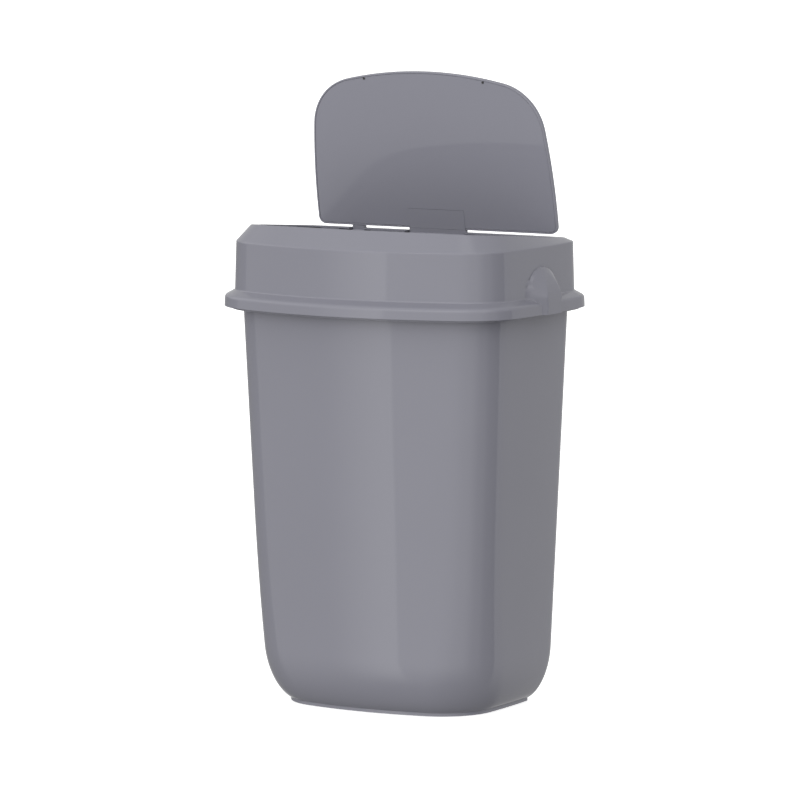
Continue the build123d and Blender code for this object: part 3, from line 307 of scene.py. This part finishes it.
def pocket(y, z, back=0.0):
    """How far out the lift pocket's surface stands at (y, z), as a distance from x = 0."""
    dy = np.abs(y - BULGE_Y)
    zz = np.maximum(z - 506.0, 0.0)
    lo, hi = np.full(dy.shape, -1.5), np.full(dy.shape, 1.9)
    for _ in range(36):
        m = (lo + hi) / 2
        a = 38.9 - 20.4 * m
        h = 38.0 - 21.0 * m
        inside = (dy / np.maximum(a, 0.05)) ** 2 + (zz / np.maximum(h, 0.05)) ** 2 < 1.0
        inside &= (a > 0) & (h > 0)
        lo = np.where(inside, m, lo)
        hi = np.where(inside, hi, m)
    # flanks rise from a creased outline; the front of the pocket leans back above its tongue
    flank = 190.8 + 18.1 * np.interp(lo, [-1.5, 0.0, 0.06, 1.0, 1.9], [-0.9, 0.0, 0.15, 0.95, 1.75])
    face = np.interp(z, [480, 503, 509, 514, 523, 532, 540, 548], [209.0, 209.0, 208.6, 208.0, 205.0, 200.8, 196.5, 192.0])
    h = np.maximum(1.0 - np.abs(flank - face), 0.0)
    x = np.minimum(flank, face) - h * h / 4
    return x - back, lo


def smax(a, b, k):
    h = np.maximum(k - np.abs(a - b), 0.0) / k
    return np.maximum(a, b) + h * h * k / 4


def add_pockets(rows, back, k):
    for r in rows:
        near = (np.abs(r[:, 0]) > 150) & (np.abs(r[:, 1] - BULGE_Y) < 58) & (r[:, 2] < 560)
        if near.any():
            p = r[near]
            f, level = pocket(p[:, 1], p[:, 2], back)
            x = smax(np.abs(p[:, 0]), f, k)
            x = np.where(f > np.abs(p[:, 0]) - k, x, np.abs(p[:, 0]))
            if back == 0.0:
                # fine crease where the pocket meets the wall
                x = x - 0.55 * np.exp(-((level + 0.01) / 0.05) ** 2) * np.clip((p[:, 2] - 507.0) / 3.0, 0, 1)
            r[near, 0] = np.sign(p[:, 0]) * x
    return rows


outer = profile([
    (wall_ring(12.1, 487.6), 0, 2),
    (wall_ring(14.5, 487.6), 0.9, 10),
    (wall_ring(13.9, 501.2), 3.0, 8),
    (wall_ring(1.7, 507.8), 1.3, 60),
    (wall_ring(0.0, 567.0), 1.1, 10),
    (ridge_ring(0.0), 1.0, 2),
    (opening_ring(0.0, 0.0), 0.7, 2),
    (opening_ring(0.0, -2.4), 0, 1)])
inner = profile([
    (opening_ring(0.4, -2.4), 0, 2),
    (ridge_ring(-0.9, -2.4), 0, 6),
    (wall_ring(-2.4, 566.1), 0, 30),
    (wall_ring(-0.8, 507.2), 0, 6),
    (wall_ring(11.3, 499.6), 0, 8),
    (wall_ring(12.05, 487.7), 0, 1)])
add_pockets(outer, 0.0, 0.8)
add_pockets(inner, 2.4, 1.5)
collar = grid_mesh("collar_shell_moulding", outer + inner, closed=True)
fix_normals(collar)


def box_at(x0, x1, y0, y1, z0, z1, r=1.0, axis="z"):
    """Cutter with rounded corners about the given axis."""
    if axis == "z":
        o = rounded((x1 - x0) / 2, (y1 - y0) / 2, r)
        return prism("cutter", o, lambda p, w: ((x0 + x1) / 2 + p[0], (y0 + y1) / 2 + p[1], w), z0, z1)
    o = rounded((x1 - x0) / 2, (z1 - z0) / 2, r)
    return prism("cutter", o, lambda p, w: ((x0 + x1) / 2 + p[0], w, (z0 + z1) / 2 + p[1]), y0, y1)


cutters = [
    box_at(-169.2, 169.2, 64.0, 89.0, 560.0, 584.0, 9.0),
    box_at(-41.5, 41.5, 80.0, 104.5, 560.0, 584.0, 1.0),
    box_at(-121.8, -103.2, 80.0, 104.5, 560.0, 584.0, 1.0),
    box_at(-136.9, -34.1, 124.0, 160.0, 514.6, 556.4, 4.4, "y"),
    box_at(110.5, 123.5, 124.0, 160.0, 529.5, 534.5, 2.45, "y"),
    box_at(92.7, 103.3, 108.7, 119.3, 556.0, 584.0, 5.2),
    box_at(114.7, 125.3, 108.7, 119.3, 556.0, 584.0, 5.2),
    box_at(-13.1, 13.1, -118.25, -115.25, 578.0, 596.0, 0.4),
    box_at(18.7, 21.3, -118.0, -115.4, 578.0, 596.0, 1.25)]
cut(collar, cutters)
smooth(collar, 34)
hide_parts("collar_shell")
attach(collar, "collar")

# the seat ring inside the collar
seat = grid_mesh("collar_seat_ring", [wall_ring(0.6, 494.3), wall_ring(0.4, 508.6),
                                      wall_ring(-4.4, 508.6), wall_ring(-4.4, 494.3)], closed=True)
fix_normals(seat)
smooth(seat, 34)
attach(seat, "collar")

# the turned-down lip along the rear edge of the opening
parts = []
for x0, x1 in [(-164.0, -136.6), (-92.0, -43.2), (57.0, 164.0)]:
    parts.append(box_at(x0, x1, 89.4, 91.0, 565.6, 571.6, 0.5))
bpy.context.view_layer.update()
vs_, fs_ = [], []
for p in parts:
    k0 = len(vs_)
    vs_ += [tuple(v.co) for v in p.data.vertices]
    fs_ += [tuple(k0 + i for i in f.vertices) for f in p.data.polygons]
    d = p.data
    bpy.data.objects.remove(p)
    bpy.data.meshes.remove(d)
me = bpy.data.meshes.new("collar_rear_lip")
me.from_pydata(vs_, [], fs_)
lip_ob = bpy.data.objects.new("collar_rear_lip", me)
bpy.context.scene.collection.objects.link(lip_ob)
smooth(lip_ob, 34)
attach(lip_ob, "collar")

# ---------------------------------------------------------------------------
# bin body
# ---------------------------------------------------------------------------
def br(z, off=0.0, at=None):
    return body_ring(z, off, at)


shell_z = list(5.0 + 65.0 * (1 - np.cos(np.linspace(0, pi / 2, 26)))) + list(np.linspace(72, 250, 30)[0:]) + list(np.linspace(250, 484, 24)[1:])
body_rows = [br(4.6, -7.0, 5.0), br(1.1, -7.0, 5.0)]
body_rows += profile([(br(1.1, -7.0, 5.0), 0, 1), (br(0.8, -6.6, 5.0), 0, 2), (br(0.8, -0.8, 5.0), 0.5, 3), (br(4.9, -0.8, 5.0), 0, 1)])[1:]
body_rows += [br(z) for z in shell_z]
lip = profile([
    (br(484.0), 0, 4), (br(490.8, 0.0, 485.0), 0.8, 4), (br(491.0, 12.2, 485.0), 0.8, 3),
    (br(485.0, 12.2, 485.0), 0, 1), (br(485.0, 14.6, 485.0), 0.5, 4), (br(494.0, 14.6, 485.0), 1.6, 6),
    (br(494.0, -2.5, 485.0), 1.6, 4), (br(484.0, -2.5), 0, 1)])[1:]
body_rows += lip
body_rows += [br(z, -2.5) for z in shell_z[::-1] if z > 8.4][1:]
body_rows += [br(7.8, -3.2, 7.0), br(7.6, -5.0, 7.0)]
body = grid_mesh("bin_body_moulding", body_rows, caps=(True, True))
fix_normals(body)
cut(body, [box_at(184.5, 206.0, -16.0, 46.0, 482.0, 500.0, 3.0), box_at(-206.0, -184.5, -16.0, 46.0, 482.0, 500.0, 3.0)])
smooth(body, 34)
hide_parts("bin_body")
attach(body, "bin")

# ---------------------------------------------------------------------------
# lid: panel and liner
# ---------------------------------------------------------------------------
def lr(off, w, r2=9.5):
    o = lid_ring(off, r2)
    return lid_point(o[:, 0], o[:, 1], w, False)


panel_rows = profile([
    (lr(-2.0, 3.9), 0, 2), (lr(-2.0, 0.0), 0.35, 2), (lr(0.0, 0.0), 0.6, 4),
    (lr(0.0, 6.0), 1.3, 2), (lr(-7.0, 6.0), 0, 1)])
panel = grid_mesh("lid_panel_moulding", panel_rows, caps=(True, True))
fix_normals(panel)


def lid_box(x0, x1, u0, u1, w0, w1, r=0.6):
    o = rounded((x1 - x0) / 2, (u1 - u0) / 2, r)
    return prism("cutter", o, lambda p, w: lid_point((x0 + x1) / 2 + p[0], (u0 + u1) / 2 + p[1], w, False), w0, w1)


cut(panel, [lid_box(-40.2, 40.2, -4.0, 4.0, -0.6, 3.88), lid_box(-121.3, -103.7, -4.0, 4.0, 1.25, 3.98)])
smooth(panel, 30)
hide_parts("lid_panel")
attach(panel, "lid")

liner_rows = profile([(lr(-6.0, 0.35), 0, 2), (lr(-2.3, 0.35), 0.35, 2), (lr(-2.3, 2.0), 0, 2), (lr(-6.0, 2.0), 0, 1)])
liner = grid_mesh("lid_liner_moulding", liner_rows, caps=(True, True))
fix_normals(liner)
cut(liner, [lid_box(-39.65, 39.65, -9.0, 24.7, -0.6, 3.0, 0.8), lid_box(-121.25, -103.75, -4.2, 8.2, 1.25, 3.0, 0.8)])
smooth(liner, 30)
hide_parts("lid_liner")
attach(liner, "lid")


# ---------------------------------------------------------------------------
# materials
# ---------------------------------------------------------------------------
def new_mat(name):
    m = bpy.data.materials.new(name)
    m.use_nodes = True
    nt = m.node_tree
    nt.nodes.clear()
    out = nt.nodes.new("ShaderNodeOutputMaterial")
    b = nt.nodes.new("ShaderNodeBsdfPrincipled")
    nt.links.new(b.outputs[0], out.inputs[0])
    return m, nt, b


def plastic(name, col, rough, grain=0.0, grain_scale=900.0, vary=0.03, spec=0.5, wave=0.0, coat=0.0):
    """Moulded plastic: a faint drift of colour and gloss, a moulded grain, and slow sink waves."""
    m, nt, b = new_mat(name)
    tc = nt.nodes.new("ShaderNodeTexCoord")
    n1 = nt.nodes.new("ShaderNodeTexNoise")
    n1.inputs["Scale"].default_value = 6.0
    n1.inputs["Detail"].default_value = 3.0
    nt.links.new(tc.outputs["Object"], n1.inputs["Vector"])
    ramp = nt.nodes.new("ShaderNodeValToRGB")
    ramp.color_ramp.elements[0].position = 0.3
    ramp.color_ramp.elements[1].position = 0.7
    ramp.color_ramp.elements[0].color = tuple(c * (1 - vary) for c in col) + (1,)
    ramp.color_ramp.elements[1].color = tuple(c * (1 + vary) for c in col) + (1,)
    nt.links.new(n1.outputs["Fac"], ramp.inputs["Fac"])
    nt.links.new(ramp.outputs["Color"], b.inputs["Base Color"])
    mr = nt.nodes.new("ShaderNodeMapRange")
    mr.inputs["To Min"].default_value = rough * 0.92
    mr.inputs["To Max"].default_value = rough * 1.08
    nt.links.new(n1.outputs["Fac"], mr.inputs["Value"])
    nt.links.new(mr.outputs["Result"], b.inputs["Roughness"])
    b.inputs["Specular IOR Level"].default_value = spec
    if coat:
        b.inputs["Coat Weight"].default_value = coat
        b.inputs["Coat Roughness"].default_value = 0.05
    last = None
    if grain:
        n2 = nt.nodes.new("ShaderNodeTexNoise")
        n2.inputs["Scale"].default_value = grain_scale
        n2.inputs["Detail"].default_value = 2.0
        nt.links.new(tc.outputs["Object"], n2.inputs["Vector"])
        bp = nt.nodes.new("ShaderNodeBump")
        bp.inputs["Strength"].default_value = 1.0
        bp.inputs["Distance"].default_value = grain
        nt.links.new(n2.outputs["Fac"], bp.inputs["Height"])
        last = bp
    if wave:
        n3 = nt.nodes.new("ShaderNodeTexNoise")
        n3.inputs["Scale"].default_value = 9.0
        n3.inputs["Detail"].default_value = 1.0
        nt.links.new(tc.outputs["Object"], n3.inputs["Vector"])
        bp = nt.nodes.new("ShaderNodeBump")
        bp.inputs["Strength"].default_value = 1.0
        bp.inputs["Distance"].default_value = wave
        nt.links.new(n3.outputs["Fac"], bp.inputs["Height"])
        if last:
            nt.links.new(last.outputs["Normal"], bp.inputs["Normal"])
        last = bp
    if last:
        nt.links.new(last.outputs["Normal"], b.inputs["Normal"])
    return m


def metal(name, col, rough, scratch=0.00002, scale=(400, 400, 30)):
    m, nt, b = new_mat(name)
    tc = nt.nodes.new("ShaderNodeTexCoord")
    mp = nt.nodes.new("ShaderNodeMapping")
    mp.inputs["Scale"].default_value = scale
    nt.links.new(tc.outputs["Object"], mp.inputs["Vector"])
    n = nt.nodes.new("ShaderNodeTexNoise")
    n.inputs["Scale"].default_value = 4.0
    n.inputs["Detail"].default_value = 4.0
    nt.links.new(mp.outputs["Vector"], n.inputs["Vector"])
    ramp = nt.nodes.new("ShaderNodeValToRGB")
    ramp.color_ramp.elements[0].color = tuple(c * 0.86 for c in col) + (1,)
    ramp.color_ramp.elements[1].color = tuple(min(c * 1.1, 1) for c in col) + (1,)
    nt.links.new(n.outputs["Fac"], ramp.inputs["Fac"])
    nt.links.new(ramp.outputs["Color"], b.inputs["Base Color"])
    mr = nt.nodes.new("ShaderNodeMapRange")
    mr.inputs["To Min"].default_value = rough * 0.75
    mr.inputs["To Max"].default_value = rough * 1.25
    nt.links.new(n.outputs["Fac"], mr.inputs["Value"])
    nt.links.new(mr.outputs["Result"], b.inputs["Roughness"])
    b.inputs["Metallic"].default_value = 1.0
    bp = nt.nodes.new("ShaderNodeBump")
    bp.inputs["Distance"].default_value = scratch
    nt.links.new(n.outputs["Fac"], bp.inputs["Height"])
    nt.links.new(bp.outputs["Normal"], b.inputs["Normal"])
    return m


GREY = (0.222, 0.222, 0.258)
LIDG = (0.250, 0.250, 0.290)
mats = {
    "body_grey": plastic("body_plastic", GREY, 0.05, grain=0.000002, grain_scale=700, vary=0.012, wave=0.00012),
    "collar_grey": plastic("collar_plastic", GREY, 0.05, grain=0.000002, grain_scale=700, vary=0.012, wave=0.00004),
    "lid_grey": plastic("lid_plastic", LIDG, 0.025, grain=0.000001, grain_scale=700, vary=0.012, wave=0.00001, spec=0.25),
    "inner_black": plastic("inner_plastic", (0.030, 0.030, 0.032), 0.5, grain=0.00003, grain_scale=1500, vary=0.1),
    "window_dark": plastic("window_plastic", (0.010, 0.006, 0.008), 0.04, vary=0.05),
    "button_grey": plastic("button_plastic", (0.13, 0.13, 0.15), 0.3, grain=0.00001, grain_scale=2500, vary=0.03),
    "gear_white": plastic("gear_plastic", (0.66, 0.65, 0.60), 0.35, grain=0.00001, grain_scale=2000, vary=0.03),
    "steel": metal("screw_steel", (0.56, 0.56, 0.57), 0.28),
    "motor_can": metal("motor_zinc", (0.50, 0.50, 0.51), 0.34, scale=(60, 400, 400)),
    "cell_wrap": plastic("cell_sleeve", (0.06, 0.13, 0.26), 0.28, grain=0.00001, vary=0.06),
    "board_green": plastic("board_mask", (0.012, 0.10, 0.04), 0.32, grain=0.00002, grain_scale=600, vary=0.25),
    "switch_black": plastic("switch_plastic", (0.02, 0.02, 0.02), 0.4, grain=0.00002, grain_scale=2500, vary=0.1),
    "led_clear": plastic("led_lens", (0.72, 0.74, 0.76), 0.08, vary=0.02),
    "lead_black": plastic("lead_sheath", (0.02, 0.02, 0.02), 0.45, grain=0.00003, grain_scale=1800, vary=0.1),
    "pad_rubber": plastic("pad_rubber", (0.035, 0.035, 0.036), 0.7, grain=0.00006, grain_scale=1200, vary=0.12),
}
slot_of = {s["node"]: s["material_slot"] for s in frame["record"]["subparts"] if "material_slot" in s}
for n, o in nodes.items():
    s = slot_of.get(n, "body_grey")
    o.data.materials.clear()
    o.data.materials.append(mats[s])
for o, s in [(collar, "collar_grey"), (seat, "collar_grey"), (lip_ob, "collar_grey"), (body, "body_grey"), (panel, "lid_grey"), (liner, "lid_grey")]:
    o.data.materials.clear()
    o.data.materials.append(mats[s])

# ---------------------------------------------------------------------------
# floor, light, camera
# ---------------------------------------------------------------------------
fm = bpy.data.meshes.new("floor")
R = 30.0
fm.from_pydata([(-R, -R, 0), (R, -R, 0), (R, R, 0), (-R, R, 0)], [], [(0, 1, 2, 3)])
floor = bpy.data.objects.new("floor", fm)
bpy.context.scene.collection.objects.link(floor)
m, nt, b = new_mat("floor_white")
b.inputs["Base Color"].default_value = (0.9, 0.9, 0.9, 1)
b.inputs["Roughness"].default_value = 0.9
b.inputs["Specular IOR Level"].default_value = 0.0
b.inputs["Emission Color"].default_value = (1, 1, 1, 1)
b.inputs["Emission Strength"].default_value = 0.72
floor.data.materials.append(m)
floor.visible_glossy = False
floor.visible_diffuse = False
floor.visible_transmission = False
floor.visible_shadow = False

world = bpy.data.worlds.new("studio")
bpy.context.scene.world = world
world.use_nodes = True
nt = world.node_tree
nt.nodes.clear()
L = nt.links


def math(op, a, b=None, clamp=False):
    n = nt.nodes.new("ShaderNodeMath")
    n.operation = op
    n.use_clamp = clamp
    for i, v in enumerate([a, b]):
        if v is None:
            continue
        if isinstance(v, (int, float)):
            n.inputs[i].default_value = v
        else:
            L.new(v, n.inputs[i])
    return n.outputs[0]


def ramp_step(v, a, b):
    """0 before a, 1 after b, smooth between."""
    n = nt.nodes.new("ShaderNodeMapRange")
    n.interpolation_type = "SMOOTHSTEP"
    L.new(v, n.inputs["Value"])
    n.inputs["From Min"].default_value = a
    n.inputs["From Max"].default_value = b
    return n.outputs["Result"]


geo_n = nt.nodes.new("ShaderNodeNewGeometry")
tc = nt.nodes.new("ShaderNodeTexCoord")
sep = nt.nodes.new("ShaderNodeSeparateXYZ")
L.new(tc.outputs["Generated"], sep.inputs[0])
X, Y, Z = sep.outputs
AZ = math("MULTIPLY", math("ARCTAN2", X, math("MULTIPLY", Y, -1.0)), 180.0 / pi)
EL = math("MULTIPLY", math("ARCSINE", Z), 180.0 / pi)


def panel_light(az0, az1, el0, el1, value, soft=(1, 1, 1, 1)):
    """A soft box seen between two azimuths and two elevations; soft gives the width of each edge."""
    a = ramp_step(AZ, az0, az0 + soft[0])
    b = math("SUBTRACT", 1.0, ramp_step(AZ, az1 - soft[1], az1))
    c = ramp_step(EL, el0, el0 + soft[2])
    d = math("SUBTRACT", 1.0, ramp_step(EL, el1 - soft[3], el1))
    return math("MULTIPLY", math("MULTIPLY", math("MULTIPLY", a, b), math("MULTIPLY", c, d)), value)


# radiance by azimuth, in three bands of elevation; each edge has its own softness
BANDS = [
    ((-31.0, 34.0), (5.0, 14.0), [
        (-200, 1, 0.60), (-132, 24, 0.28), (-76, 2.0, 0.70), (-36, 16, 0.88), (-13, 1.2, 1.10),
        (32, 24, 0.98), (64, 26, 0.44), (88, 8, 0.14), (119, 1.2, 0.74), (150, 20, 0.66), (200, 1, 0)]),
    ((5.0, 14.0), (36.0, 18.0), [
        (-200, 1, 0.62), (-100, 24, 1.34), (-38, 24, 1.50), (-13, 24, 2.10), (34, 30, 1.50),
        (78, 30, 0.62), (200, 1, 0)]),
    ((36.0, 18.0), (120.0, 2.0), [
        (-200, 1, 0.56), (-90, 40, 0.87), (0, 40, 1.22), (92, 40, 0.58), (200, 1, 0)]),
]
acc = panel_light(-200, 200, -91, -14, 0.24, (1, 1, 1, 34))
for (e0, s0), (e1, s1), cols in BANDS:
    for (a0, w0, v), (a1, w1, _) in zip(cols, cols[1:]):
        acc = math("ADD", acc, panel_light(a0 - w0 / 2, a1 + w1 / 2, e0 - s0 / 2, e1 + s1 / 2, v, (w0, w1, s0, s1)))
# a ramp that brightens up to a hard edge
acc = math("ADD", acc, panel_light(-40, -12.4, -40, 30, 0.84, (26, 1.2, 18, 30)))
rad = acc
bg = nt.nodes.new("ShaderNodeBackground")
bg.inputs["Color"].default_value = (1, 1, 1, 1)
L.new(rad, bg.inputs["Strength"])
white = nt.nodes.new("ShaderNodeBackground")
white.inputs["Color"].default_value = (1, 1, 1, 1)
white.inputs["Strength"].default_value = 1.05
lp = nt.nodes.new("ShaderNodeLightPath")
mix = nt.nodes.new("ShaderNodeMixShader")
L.new(lp.outputs["Is Camera Ray"], mix.inputs[0])
L.new(bg.outputs[0], mix.inputs[1])
L.new(white.outputs[0], mix.inputs[2])
out = nt.nodes.new("ShaderNodeOutputWorld")
L.new(mix.outputs[0], out.inputs[0])

from mathutils import Vector, Matrix
cam_data = bpy.data.cameras.new("camera")
cam = bpy.data.objects.new("camera", cam_data)
bpy.context.scene.collection.objects.link(cam)
bpy.context.scene.camera = cam
cam_data.sensor_width = 36.0
cam_data.lens = 5930.6 / 800.0 * 36.0
cam_data.clip_start = 0.1
cam_data.clip_end = 100.0
pos = Vector((3.5926, -6.2186, 1.1903))
back = Vector((0.49679, -0.86047, 0.11308)).normalized()
up = Vector((-0.05654, 0.09793, 0.99359))
right = up.cross(back).normalized()
up = back.cross(right)
cam.matrix_world = Matrix(((right.x, up.x, back.x, pos.x), (right.y, up.y, back.y, pos.y),
                           (right.z, up.z, back.z, pos.z), (0, 0, 0, 1)))
vs = bpy.context.scene.view_settings
vs.view_transform = "Standard"
vs.look = "None"
vs.exposure = 0.0
vs.gamma = 1.0
